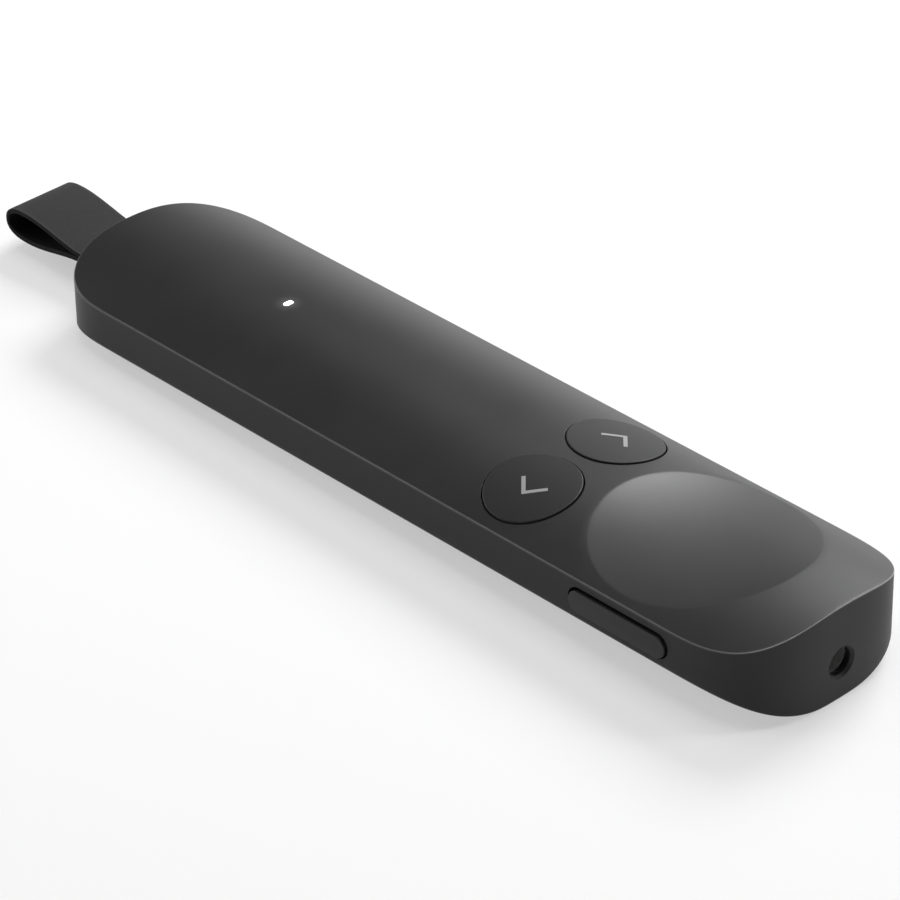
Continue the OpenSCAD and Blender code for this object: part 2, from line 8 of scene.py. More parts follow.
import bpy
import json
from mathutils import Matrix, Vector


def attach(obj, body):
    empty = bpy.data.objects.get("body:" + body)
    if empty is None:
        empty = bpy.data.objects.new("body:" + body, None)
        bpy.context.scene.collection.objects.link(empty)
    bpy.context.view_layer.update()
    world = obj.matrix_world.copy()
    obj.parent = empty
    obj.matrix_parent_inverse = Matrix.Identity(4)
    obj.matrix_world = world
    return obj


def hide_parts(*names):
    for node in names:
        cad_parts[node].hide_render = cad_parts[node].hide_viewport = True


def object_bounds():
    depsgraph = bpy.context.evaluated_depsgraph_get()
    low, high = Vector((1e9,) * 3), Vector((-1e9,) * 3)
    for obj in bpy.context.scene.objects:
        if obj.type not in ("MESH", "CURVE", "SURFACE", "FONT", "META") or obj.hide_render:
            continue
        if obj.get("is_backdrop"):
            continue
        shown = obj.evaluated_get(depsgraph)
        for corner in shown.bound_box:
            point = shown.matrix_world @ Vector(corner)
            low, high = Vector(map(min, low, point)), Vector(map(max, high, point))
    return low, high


bl_info = {
    "name": "Presentation clicker",
    "version": (1, 0, 0),
    "blender": (4, 5, 0),
    "location": "3D View > Sidebar > Clicker",
    "description": "Builds the outside pieces and finishes of a presentation clicker",
    "category": "Object",
}

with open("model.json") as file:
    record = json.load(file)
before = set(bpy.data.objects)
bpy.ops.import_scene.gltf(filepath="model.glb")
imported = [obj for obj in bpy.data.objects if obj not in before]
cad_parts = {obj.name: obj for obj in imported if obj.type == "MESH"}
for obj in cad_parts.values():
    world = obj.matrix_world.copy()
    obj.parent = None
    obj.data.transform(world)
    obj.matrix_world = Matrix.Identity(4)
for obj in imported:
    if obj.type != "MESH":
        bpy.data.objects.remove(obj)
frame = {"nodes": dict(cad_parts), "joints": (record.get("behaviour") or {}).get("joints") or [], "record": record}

import json
import math
from types import SimpleNamespace

import bmesh
import bpy
import numpy as np
from bpy.props import FloatProperty, FloatVectorProperty, PointerProperty
from mathutils import Matrix, Vector
from mathutils.geometry import delaunay_2d_cdt
from mathutils.kdtree import KDTree

MM = 0.001
TINY = 1e-9
LIPS = 7
SHARP = math.radians(32)
WELD = 0.0004 * MM
PAINTED_GLOW_REACH = 2.2 * MM
KEY_EDGE = 0.12
MOUTH_EDGE = 0.015
DOCK_CORNER = 0.7


# ---- settings


def length(description, default):
    """A length setting, given in millimetres and kept in metres."""
    return FloatProperty(
        description=description, default=default * MM, min=0, precision=5, unit="LENGTH"
    )


def colour(description, *default):
    """A colour setting."""
    return FloatVectorProperty(
        description=description, default=default, size=3, min=0, max=1, subtype="COLOR"
    )


def number(description, default, unit="NONE"):
    """A number setting."""
    return FloatProperty(description=description, default=default, min=0, precision=3, unit=unit)


def named(group):
    """Gives each of a group's settings its name in words."""
    for name, setting in group.__annotations__.items():
        setting.keywords["name"] = name.replace("_", " ").capitalize()
    return group


@named
class ClickerBody(bpy.types.PropertyGroup):
    """Sizes of the casing"""

    length: length("Length of the body, tail to nose", 119.5)
    width: length("Width of the body", 28.2)
    crown: length("Rise of the arched top face", 2.9)
    wall: length("Height of the upright side wall", 5.3)
    belly_tail: length("Depth of the belly at the tail", 2.4)
    belly_nose: length("Depth of the belly at the nose", 4.6)
    land: length("Height of the flat on the belly's crest", 0.15)
    tail: length("Length of the rounded tail", 12)
    nose: length("Length of the rounded nose", 15)
    tail_power: number("Squareness of the tail's outline", 2.9)
    nose_power: number("Squareness of the nose's outline", 3.35)
    loop_reach: length("How far the loop reaches behind the tail", 18.5)
    edge: length("Radius of the rounded edge of the top face", 0.15)
    belly_edge: length("Radius of the edge between wall and belly", 0.35)
    lip: length("Height of the cover's own edge", 0.26)
    cover: length("Thickness of the cover", 1.5)
    shell: length("Thickness of the shell's walls", 1)
    floor: length("Thickness of the shell's floor", 1.2)
    dish_at: length("Distance of the dish from the tail", 98.8)
    dish: length("Radius of the touch dish", 13.1)
    dish_depth: length("Depth of the touch dish", 1.05)


@named
class ClickerKeys(bpy.types.PropertyGroup):
    """Sizes of the keys, the light and the aperture"""

    at: length("Distance of the round keys from the tail", 78.3)
    aside: length("Distance of each round key from the middle line", 6.75)
    radius: length("Radius of a round key", 5.75)
    gap: length("Gap around a round key", 0.18)
    proud: length("Height of a round key above the cover", 0.18)
    mark_arm: length("Reach of each arm of a mark", 1.95)
    mark_stroke: length("Width of a mark's stroke", 0.48)
    side_at: length("Distance of the side key from the tail", 98.9)
    side_down: length("Depth of the side key below the crest", 5.75)
    side_long: length("Length of the side key", 14.8)
    side_high: length("Height of the side key's face", 2.8)
    side_gap: length("Gap around the side key", 0.25)
    side_lift: length("Height of the slot's middle above the side key's", 0.1)
    side_proud: length("Height of the side key above the wall", 0.3)
    light_at: length("Distance of the status light from the tail", 29.6)
    light_long: length("Length of the status light's window", 1.45)
    light_wide: length("Width of the status light's window", 0.85)
    aperture: length("Radius of the laser's aperture", 1.75)
    aperture_down: length("Depth of the aperture below the crest", 7.7)


@named
class ClickerTail(bpy.types.PropertyGroup):
    """Sizes of the receiver and its fabric loop"""

    down: length("Depth of the receiver's axis below the crest", 5.6)
    wide: length("Width of the receiver", 12.2)
    high: length("Height of the receiver", 5)
    strap_wide: length("Width of the fabric loop", 9.8)
    strap_thick: length("Thickness of the webbing", 0.62)
    strap_open: length("Outside height of the open loop", 4.35)


@named
class ClickerFinish(bpy.types.PropertyGroup):
    """Colours of what shows"""

    casing: colour("Colour of the casing", 0.021, 0.021, 0.0218)
    keys: colour("Colour of the keys", 0.017, 0.017, 0.0176)
    marks: colour("Colour of the marks on the keys", 0.3, 0.3, 0.3)
    strap: colour("Colour of the webbing", 0.037, 0.037, 0.038)
    light: colour("Colour of the status light", 1, 1, 1)


@named
class ClickerStage(bpy.types.PropertyGroup):
    """Camera, lamps and floor"""

    azimuth: number("Camera's angle round the clicker, in degrees", 46.138)
    elevation: number("Camera's angle above the table, in degrees", 33.645)
    distance: length("Distance of the camera from its target", 527.1)
    lens: number("Focal length on a 36 mm sensor, in millimetres", 181.73)
    sky: number("Brightness of the surroundings", 0.03)
    horizon: number("How bright the surroundings look just above the floor", 1)
    back: number("Power of the lamp behind the clicker", 2.6, "POWER")
    high: number("Power of the lamp above and behind the tail", 0.2, "POWER")
    left: number("Power of the lamp off the tail", 0.5, "POWER")
    near: number("Power of the lamp on the camera's left", 0.3, "POWER")
    rim: number("Power of the small lamp that picks out the edges", 0.6, "POWER")
    top: number("Power of the lamp overhead", 3, "POWER")
    floor: colour("Colour of the floor", 0.9, 0.9, 0.9)
    bleach: number("Share of the floor that looks plain white, so its shadow is soft", 0.5)


def in_mm(group):
    """A group's settings by name, with its lengths in millimetres."""
    known = group.bl_rna.properties
    return {
        name: getattr(group, name) / (MM if known[name].unit == "LENGTH" else 1)
        for name in group.__annotations__
    }


# ---- outside shape


def arc(half, rise):
    """Radius of an arc, from half its chord and its rise."""
    return (half**2 + rise**2) / (2 * rise)


class Shape(SimpleNamespace):
    """The casing's outside shape in the deck frame, in millimetres."""

    def __init__(self, settings):
        super().__init__(**in_mm(settings))
        self.half = self.width / 2
        self.crown_r = arc(self.half, self.crown)
        self.wall_end = self.crown + self.wall
        self.tail_r = arc(self.half, self.belly_tail)
        self.nose_r = arc(self.half, self.belly_nose)
        self.tail_high = self.wall_end + self.belly_tail
        press = next(j["axis"] for j in frame["joints"] if j["name"] == "back_press")
        self.tilt = math.atan2(press[0], -press[2])
        self.stations = self.walk(0.7)

    def arch(self, y):
        """Height of the plain top face."""
        return math.sqrt(self.crown_r**2 - y * y) - self.crown_r

    def top(self, x, y):
        """Height of the top face, with the dish in it."""
        crown = self.arch(y)
        if math.hypot(x - self.dish_at, y) >= self.dish:
            return crown
        along = arc(self.dish, self.dish_depth)
        across = arc(self.dish, -self.arch(self.dish) - self.dish_depth)
        radius = along + across - math.sqrt(across**2 - y * y)
        scoop = along - self.dish_depth - math.sqrt(radius**2 - (x - self.dish_at) ** 2)
        return min(crown, scoop)

    def top_edge(self, y):
        """Height of the line between the cover and the shell below it."""
        return self.arch(y) - self.lip

    def belly(self, x, y):
        """Height of the belly, worn level along its crest where it stands on the table."""
        table = (self.land - x * math.sin(self.tilt)) / math.cos(self.tilt) - self.tail_high
        hull = self.hull(x, y)
        ease = max(2 * self.land - abs(table - hull), 0)
        return max(table, hull) + ease * ease / (8 * self.land)

    def hull(self, x, y):
        """Height of two arcs of different radius with straight lines between."""
        share = min(max(x / self.length, 0), 1)
        y = min(abs(y), self.half)
        rest = 1 - share
        turn = math.asin(self.half / self.tail_r)
        radius = rest * self.tail_r + share * self.nose_r
        if y <= radius * math.sin(turn):
            deepest = rest * self.belly_tail + share * self.belly_nose
            return -self.wall_end - deepest + radius - math.sqrt(radius**2 - y * y)
        lean = (y - rest * self.half) / max(share * self.nose_r, TINY)
        rise = self.nose_r * (1 - math.sqrt(max(1 - lean * lean, 0)))
        return -self.wall_end - share * (self.belly_nose - rise)

    def outline(self, steps=240):
        """Points round the plan, anticlockwise from the middle of the back key's side."""
        turns = [math.pi / 2 * i / steps for i in range(steps + 1)]

        def end(reach, power):
            share = 2 / power
            return [
                (reach * (1 - math.cos(a) ** share), self.half * math.sin(a) ** share)
                for a in turns
            ]

        tail_end = end(self.tail, self.tail_power)
        nose_end = [(self.length - x, y) for x, y in end(self.nose, self.nose_power)]
        middle = self.length / 2
        left = [(middle, self.half), *reversed(tail_end)]
        right = [(x, -y) for x, y in [*tail_end[1:], *reversed(nose_end)]]
        return [*left, *right, *nose_end[1:], (middle, self.half)]

    def walk(self, step):
        """Distances walked to evenly spaced stations round the plan, the last at the start."""
        path = np.array(self.outline())
        gaps = np.hypot(*np.diff(path, axis=0).T)
        path = path[np.append(True, gaps > TINY)]
        self.walked = np.append(0, np.cumsum(np.hypot(*np.diff(path, axis=0).T)))
        self.path = path
        self.round = self.walked[-1]
        count = round(self.round / step)
        return [self.round * i / count for i in range(count + 1)]

    def at(self, walked, depth=0):
        """The plan's point at a distance walked, moved inwards by depth."""
        near = [walked - 0.02, walked, walked + 0.02]
        (x0, x, x1), (y0, y, y1) = [np.interp(near, self.walked, c) for c in self.path.T]
        run = max(math.hypot(x1 - x0, y1 - y0), TINY)
        return x - depth * (y1 - y0) / run, y + depth * (x1 - x0) / run

    def walked_to(self, x, y):
        """The distance walked where the plan passes closest to a point."""
        steps = np.linspace(0, self.round, 20001)
        near_x, near_y = (np.interp(steps, self.walked, line) for line in self.path.T)
        return float(steps[np.argmin(np.hypot(near_x - x, near_y - y))])


def deck_matrix(shape):
    """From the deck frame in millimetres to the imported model's frame in metres."""
    origin = (shape.length - shape.loop_reach) / 2
    return (
        Matrix.Scale(MM, 4)
        @ Matrix.Translation((-origin, 0, -shape.land))
        @ Matrix.Rotation(-shape.tilt, 4, "Y")
        @ Matrix.Translation((0, 0, shape.tail_high))
    )


# ---- drawing a mesh


class Skin:
    """A closed mesh in the making, in the deck frame."""

    def __init__(self):
        self.points = []
        self.faces = []

    def add(self, points):
        """Adds points and gives back their numbers."""
        first = len(self.points)
        self.points += [tuple(p) for p in points]
        return list(range(first, len(self.points)))

    def band(self, one, other, closed=True):
        """Quads between two rows of as many points."""
        for i in range(len(one) if closed else len(one) - 1):
            j = (i + 1) % len(one)
            self.faces.append((one[i], one[j], other[j], other[i]))

    def tube(self, rings):
        """Bands along a list of rings, closed at both ends."""
        rows = [self.add(ring) for ring in rings]
        for one, other in zip(rows, rows[1:]):
            self.band(one, other)
        self.faces += [tuple(rows[0]), tuple(rows[-1])]

    def block(self, low, high):
        """A box between two corners."""
        (x0, y0, z0), (x1, y1, z1) = low, high
        corners = [(x0, y0), (x1, y0), (x1, y1), (x0, y1)]
        self.tube([[(x, y, z0) for x, y in corners], [(x, y, z1) for x, y in corners]])


def placed(name, data):
    """A new object in the scene."""
    made = bpy.data.objects.new(name, data)
    bpy.context.scene.collection.objects.link(made)
    return made


def finish_piece(name, skin, body, node, slot, coat=None):
    """Turns a skin into a piece in its slot's finish, or in a coat of its own."""
    deck = kit().deck
    bm = bmesh.new()
    verts = [bm.verts.new(deck @ Vector(p)) for p in skin.points]
    for face in skin.faces:
        bm.faces.new([verts[i] for i in face])
    bmesh.ops.remove_doubles(bm, verts=bm.verts, dist=WELD)
    bmesh.ops.recalc_face_normals(bm, faces=bm.faces)
    if any(not edge.is_manifold for edge in bm.edges):
        raise RuntimeError(f"{name} isn't closed")
    mesh = bpy.data.meshes.new(name)
    bm.to_mesh(mesh)
    bm.free()
    mesh.shade_smooth()
    mesh.set_sharp_from_angle(angle=SHARP)
    mesh.materials.append(kit().finishes[coat or slot])
    hand_over(placed(name, mesh), body, node)


def hand_over(piece, body, node):
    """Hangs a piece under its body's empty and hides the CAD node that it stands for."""
    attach(piece, body)
    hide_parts(node)


def quarter(radius):
    """Steps over a rounded edge, from its side to its top: distance in and drop."""
    turns = [math.pi / 2 * i / (LIPS - 1) for i in range(LIPS)]
    return [(radius * (1 - math.cos(a)), radius * (1 - math.sin(a))) for a in turns]


def rounded_box(half_u, half_v, corner, grow=0.0, steps=14):
    """Points round a box with rounded corners, pushed outwards by grow."""
    points = []
    for turn, (su, sv) in enumerate([(1, 1), (-1, 1), (-1, -1), (1, -1)]):
        for i in range(steps + 1):
            a = math.pi / 2 * (turn + i / steps)
            u = su * (half_u - corner) + (corner + grow) * math.cos(a)
            v = sv * (half_v - corner) + (corner + grow) * math.sin(a)
            if not points or math.dist(points[-1], (u, v)) > 1e-6:
                points.append((u, v))
    return points if math.dist(points[0], points[-1]) > 1e-6 else points[:-1]


def circle(radius, count=96):
    """Points round a circle."""
    turns = [2 * math.pi * i / count for i in range(count)]
    return [(radius * math.cos(a), radius * math.sin(a)) for a in turns]


def moved(points, u, v):
    """Flat points moved by u and v."""
    return [(p[0] + u, p[1] + v) for p in points]


def inside(points, rings):
    """Which of the points lie inside the first ring and outside the others."""
    x, y = np.asarray(points, float).T
    hit = np.zeros(len(x), bool)
    for ring in rings:
        for (x0, y0), (x1, y1) in zip(ring, [*ring[1:], ring[0]]):
            if y0 != y1:
                across = x < (x1 - x0) * (y - y0) / (y1 - y0) + x0
                hit ^= ((y0 > y) != (y1 > y)) & across
    return hit


def fill_points(rings, taken, step):
    """Staggered points inside the rings, away from the points that are taken."""
    low, high = np.min(rings[0], axis=0), np.max(rings[0], axis=0)
    rows = np.arange(low[1] + step / 2, high[1], step * 0.87)
    grid = [
        (u + step / 2 * (n % 2), v)
        for n, v in enumerate(rows)
        for u in np.arange(low[0] + step / 2, high[0], step)
    ]
    tree = KDTree(len(taken))
    for i, (u, v) in enumerate(taken):
        tree.insert((u, v, 0), i)
    tree.balance()
    clear = [p for p, keep in zip(grid, inside(grid, rings)) if keep]
    return [p for p in clear if tree.find((*p, 0))[2] > 0.5 * step]


def surface(skin, place, step, outline, rows=(), holes=(), lines=(), rest=0.0):
    """Fills one face over a flat domain and gives back the outline's and the holes' points.

    outline, rows and holes are closed rows of (u, v, offset), and the face follows the rows
    and the open lines. place turns any of them into a point. Between them are points a step
    apart, with rest as their offset."""
    flat, offsets, chains = [], [], []
    closed = [outline, *holes, *rows]
    for n, row in enumerate([*closed, *lines]):
        chain = list(range(len(flat), len(flat) + len(row)))
        flat += [(u, v) for u, v, _ in row]
        offsets += [offset for _, _, offset in row]
        chains.append(chain + chain[:1] if n < len(closed) else chain)
    rings = [[(u, v) for u, v, _ in ring] for ring in (outline, *holes)]
    between = fill_points(rings, flat, step)
    flat += between
    offsets += [rest] * len(between)
    edges = [pair for chain in chains for pair in zip(chain, chain[1:])]
    found = delaunay_2d_cdt([Vector(p) for p in flat], edges, [], 0, 1e-7)
    if len(found[0]) != len(flat):
        raise RuntimeError("two outlines of one surface cross or touch")
    source = [origin[0] for origin in found[3]]
    faces = np.array([[source[i] for i in face] for face in found[2]])
    corners = np.array(flat)[faces]
    middles = corners.mean(axis=1)
    (u1, v1), (u2, v2) = (corners[:, n].T - corners[:, 0].T for n in (1, 2))
    keep = inside(middles, rings) & (np.abs(u1 * v2 - u2 * v1) > TINY)
    points = skin.add(place(*p, offset) for p, offset in zip(flat, offsets))
    skin.faces += [tuple(points[i] for i in face) for face in faces[keep].tolist()]
    return [[points[i] for i in chain[:-1]] for chain in chains[: len(holes) + 1]]


def rounding(ring, radius):
    """The rows of a rounded edge, from the side to the top. ring gives a row at a distance."""
    steps = [*quarter(radius), (radius + 0.07, 0)]
    return [[(*p[:2], drop) for p in ring(inset)] for inset, drop in steps]


# ---- casing


def cover_skin(shape, keys):
    """The top cover: a crowned plate with the dish, two round holes and the light's slot."""
    well = keys.radius + keys.gap
    wells = [(keys.at, side * keys.aside) for side in (1, -1)]
    slot = keys.light_wide / 2, keys.light_long / 2
    skin = Skin()

    def place(x, y, drop):
        return x, y, shape.top(x, y) - drop

    def rim(inset):
        return [shape.at(s, inset) for s in shape.stations[:-1]]

    def hole(x, y):
        return lambda out: moved(circle(well + out), x, y)

    def window(out):
        return moved(rounded_box(*slot, slot[0], out, 8), keys.light_at, 0)

    edge, *rows = rounding(rim, shape.edge)
    mouths = []
    for ring in (hole(*wells[0]), hole(*wells[1]), window):
        mouth, *more = rounding(ring, MOUTH_EDGE)
        mouths.append(mouth)
        rows += more
    for out in (-0.25, -0.03, 0.2):
        ring = moved(circle(shape.dish + out, 240), shape.dish_at, 0)
        rows.append([(*p, 0) for p in ring])
    above = surface(skin, place, 1.3, edge, rows, mouths)

    steps = []
    for inset, thick in ((shape.shell, shape.lip), (shape.shell + 0.1, shape.cover)):
        for side in (1, -1):
            row = [
                (*p, thick)
                for p in rim(inset)
                if side * (p[0] - wells[0][0]) > 0
                and min(math.dist(p, w) for w in wells) > well + 0.3
            ]
            start = max(range(len(row)), key=lambda i: math.dist(row[i][:2], row[i - 1][:2]))
            steps.append(row[start:] + row[:start])
    foot = [(*p[:2], shape.lip) for p in edge]
    feet = [[(*p[:2], shape.cover) for p in mouth] for mouth in mouths]
    below = surface(skin, place, 1.6, foot, holes=feet, lines=steps, rest=shape.cover)
    for one, other in zip(above, below):
        skin.band(one, other)
    return skin


def side_skin(shape, keys, tail):
    """The shell below the cover: upright wall and belly, with three openings in the wall."""
    skin = Skin()
    edge = shape.belly_edge
    ends = shape.stations
    well = keys.radius + keys.gap
    flank = shape.walked_to(keys.side_at, -shape.half)
    front = shape.walked_to(shape.length, 0)
    back = shape.walked_to(0, 0)
    slot = keys.side_long / 2 + keys.side_gap, keys.side_high / 2 + keys.side_gap
    slot_z = keys.side_lift - keys.side_down
    play, chamfer, level = 0.15, 0.35, 0.06
    dock = tail.wide / 2 + play, tail.high / 2 + play, DOCK_CORNER
    bevel = [(0, chamfer), (chamfer, 0), (chamfer + level, 0)]
    openings = [
        (flank, slot_z, (*slot, slot[1]), [*quarter(0.05), (0.05 + level, 0)]),
        (front, -keys.aperture_down, (keys.aperture,) * 3, bevel),
        (back, -tail.down, dock, [*quarter(0.1), (0.1 + level, 0)]),
    ]

    def inner_at(s, depth=0):
        x, y = shape.at(s, shape.shell + depth)
        room = well**2 - (x - keys.at) ** 2
        reach = keys.aside + math.sqrt(room) if room > 0 else 0
        return x, math.copysign(max(abs(y), min(reach, shape.half - 0.5)), y)

    def wall(corner, foot, rounded):
        """One face of the wall over (distance walked, height): its top and its mouths."""

        def place(s, z, depth):
            return *corner(s, depth), z

        tops = [(s, shape.top_edge(corner(s)[1]), 0) for s in ends]
        lows = [(s, shape.belly(*corner(s)) + foot, 0) for s in ends]
        (_, z0, _), (_, z1, _) = lows[0], tops[0]
        rise = [z0 + (z1 - z0) * share for share in (0.25, 0.5, 0.75)]
        up = [(ends[-1], z, 0) for z in rise]
        down = [(ends[0], z, 0) for z in reversed(rise)]
        rows, mouths = [], []
        for s, z, box, rings in openings:
            rings = rings if rounded else [(0, 0)]
            mouth, *more = [
                [(*p, depth) for p in moved(rounded_box(*box, grow), s, z)]
                for grow, depth in rings
            ]
            mouths.append(mouth)
            rows += more
        outline = [*lows, *up, *reversed(tops), *down]
        points, *mouths = surface(skin, place, 1.4, outline, rows, mouths)
        first = len(lows) + len(up)
        return points[first : first + len(tops)], mouths

    out_top, out_mouths = wall(shape.at, edge, True)
    in_top, in_mouths = wall(inner_at, shape.floor, False)
    skin.band(out_top, in_top, closed=False)
    for one, other in zip(out_mouths, in_mouths):
        skin.band(one, other)

    def under(x, y, rise):
        return x, y, shape.belly(x, y) + rise

    rim, *rows = rounding(lambda inset: [shape.at(s, inset) for s in ends[:-1]], edge)
    surface(skin, under, 1.6, rim, rows)
    rim = [(*inner_at(s), shape.floor) for s in ends[:-1]]
    surface(skin, under, 1.6, rim, rest=shape.floor)
    return skin


# ---- keys


def over_key(shape, keys, lift=0):
    """Places flat points over a round key's face, each lower by its own drop."""
    rise = keys.proud + shape.lip + lift
    return lambda x, y, drop: (x, y, shape.top_edge(y) + rise - drop)


def round_key_skin(shape, keys, side):
    """A round key: a cap that follows the crown, the bar that holds it in, and its stem."""
    x, y = keys.at, side * keys.aside
    foot, bar, stem = -2.9, -3.4, -3.7
    bar_long, bar_wide, stem_radius, gap = 14.6, 4, 1.3, 0.01

    def ring(inset):
        return moved(circle(keys.radius - inset, 120), x, y)

    skin = Skin()
    edge, *rows = rounding(ring, KEY_EDGE)
    (top,) = surface(skin, over_key(shape, keys), 0.7, edge, rows)
    low = skin.add((px, py, foot) for px, py, _ in edge)
    skin.band(top, low)
    skin.faces.append(tuple(low))
    half = bar_long / 2, bar_wide / 2
    skin.block((x - half[0], y - half[1], bar), (x + half[0], y + half[1], foot - gap))
    round_stem = moved(circle(stem_radius, 32), x, y)
    skin.tube([[(*p, z) for p in round_stem] for z in (bar - gap, stem)])
    return skin


def mark_skin(shape, keys, side):
    """A pale chevron let into a key, pointing away from the middle line."""
    arm, step = keys.mark_arm, keys.mark_stroke / math.sqrt(2)
    tip, lift, deep = 1.5, 0.015, 0.3
    turn = tip - arm
    outer, inner = (-arm - step / 2, turn + step / 2), (-arm + step / 2, turn - step / 2)
    mirrored = [(-u, v) for u, v in (inner, outer)]
    corners = [(0, tip + step), outer, inner, (0, tip - step), *mirrored]
    outline = []
    for (u0, v0), (u1, v1) in zip(corners, [*corners[1:], corners[0]]):
        count = max(1, round(math.dist((u0, v0), (u1, v1)) / 0.25))
        for share in (i / count for i in range(count)):
            u, v = u0 + (u1 - u0) * share, v0 + (v1 - v0) * share
            outline.append((keys.at + u, side * (keys.aside + v), 0))
    place = over_key(shape, keys, lift)
    skin = Skin()
    (top,) = surface(skin, place, 0.2, outline)
    low = [(x, y, deep) for x, y, _ in outline]
    (under,) = surface(skin, place, 0.2, low, rest=deep)
    skin.band(top, under)
    return skin


def side_key_skin(shape, keys):
    """The side key: a pill with a rounded face, the flange behind the wall and its stem."""
    x, z = keys.side_at, -keys.side_down
    half_l, half_h = keys.side_long / 2, keys.side_high / 2
    face = -shape.half - keys.side_proud
    flange = -shape.half + shape.shell + 0.3
    stem_end, stem_top, stem_foot, gap = flange + 0.75, -6, -6.8, 0.01

    def ring(longer, grow, y):
        pill = rounded_box(half_l + longer, half_h, half_h, grow, 20)
        return [(u, y, v) for u, v in moved(pill, x, z)]

    skin = Skin()
    rows = [ring(0, -inset, face + drop) for inset, drop in reversed(quarter(KEY_EDGE))]
    skin.tube([*rows, ring(0, 0, flange)])
    skin.tube([ring(1.2, 0, y) for y in (flange + gap, flange + 0.25)])
    skin.block((x - 1.5, flange + 0.25 + gap, stem_foot), (x + 1.5, stem_end, stem_top))
    return skin


# ---- tail


def receiver_skin(shape, tail):
    """The receiver: a rounded block whose end follows the tail, with the strap's slot."""
    half_w, half_h = tail.wide / 2, tail.high / 2
    play, deep, back = 0.1, 7, 10.9
    slot = tail.strap_wide / 2 + play, tail.strap_thick + 0.06

    def place(u, v, depth):
        reach = (1 - (abs(u) / shape.half) ** shape.tail_power) ** (1 / shape.tail_power)
        return 0.05 + shape.tail * (1 - reach) + depth, u, v - tail.down

    skin = Skin()
    edge, *rows = rounding(lambda inset: rounded_box(half_w, half_h, DOCK_CORNER, -inset), 0.2)
    mouth = [(*p, 0) for p in rounded_box(*slot, 0.05, 0, 3)]
    rim, hole = surface(skin, place, 0.7, edge, rows, [mouth])
    for row, points, x in ((edge, rim, back), (mouth, hole, deep)):
        end = skin.add((x, u, v - tail.down) for u, v, _ in row)
        skin.band(points, end)
        skin.faces.append(tuple(end))
    return skin


def eased(share):
    """A share held between 0 and 1, with both ends eased."""
    share = min(1, max(0, share))
    return share * share * (3 - 2 * share)


def strap_path(tail):
    """The middle of the webbing, from inside the receiver round the loop and back.

    The plies part a little behind the tail, open fully before the blunt fold and sag."""
    reach, part, held, sag, blunt, gap = 18.85, 3.5, 6.6, 0.22, 2.5, 0.01
    full = reach - 4
    half = tail.strap_open / 2
    thick = tail.strap_thick
    inset = thick / 2

    def height(d):
        opened = thick + (half - thick) * eased((d - part) / (full - part))
        fold = min(1, max(0, (d - full) / (reach - full - inset)))
        return (opened - inset + gap) * max(0, 1 - fold**blunt) ** (1 / blunt)

    run = [-held + (full + held) * i / 44 for i in range(44)]
    turn = [math.sin(math.pi / 2 * i / 22) ** (2 / blunt) for i in range(23)]
    bend = [full + (reach - full - inset) * share for share in turn]
    upper = [(d, height(d)) for d in [*run, *bend]]
    both = upper + [(d, -rise) for d, rise in reversed(upper[:-1])]
    return [(-d, 0, rise - sag * eased((d + 0.5) / 4) - tail.down) for d, rise in both]


# ---- node trees


class Value:
    """A node's output that Python's operators work on. Each adds its Math node."""

    def __init__(self, tree, socket):
        self.tree = tree
        self.socket = socket

    def __getitem__(self, name):
        """Another output of the same node, by its name or number."""
        return Value(self.tree, self.socket.node.outputs[name])

    def math(self, operation, first, second=0.0, clamp=False):
        settings = {"operation": operation, "use_clamp": clamp}
        return self.tree.node("ShaderNodeMath", settings, i_0=first, i_1=second)

    def __add__(self, other):
        return self.math("ADD", self, other)

    def __sub__(self, other):
        return self.math("SUBTRACT", self, other)

    def __rsub__(self, other):
        return self.math("SUBTRACT", other, self)

    def __mul__(self, other):
        return self.math("MULTIPLY", self, other)

    __radd__ = __add__
    __rmul__ = __mul__

    def above(self, edge):
        return self.math("GREATER_THAN", self, edge)

    def sine(self):
        return self.math("SINE", self)

    def size(self):
        return self.math("ABSOLUTE", self)

    def clamped(self):
        return self.math("ADD", self, 0.0, clamp=True)


class Tree:
    """A node tree in the making. One method adds every kind of node."""

    def __init__(self, tree):
        self.tree = tree

    def node(self, kind, settings=None, **sockets):
        """Adds a node, sets its own settings first, and gives back its first output."""
        made = self.tree.nodes.new(kind)
        for name, value in (settings or {}).items():
            setattr(made, name, value)
        self.feed(made, **sockets)
        return Value(self, made.outputs[0]) if made.outputs else None

    def feed(self, made, **sockets):
        """Gives a node's inputs their values or links.

        Each goes by its name, with spaces as underscores, or by i_ and its number."""
        for name, value in sockets.items():
            known = int(name[2:]) if name.startswith("i_") else name.replace("_", " ")
            socket = made.inputs[known]
            if isinstance(value, Value):
                self.tree.links.new(value.socket, socket)
            else:
                socket.default_value = (*value, 1) if socket.type == "RGBA" else value

    def split(self, vector):
        """The three parts of a vector."""
        parts = self.node("ShaderNodeSeparateXYZ", Vector=vector)
        return parts["X"], parts["Y"], parts["Z"]


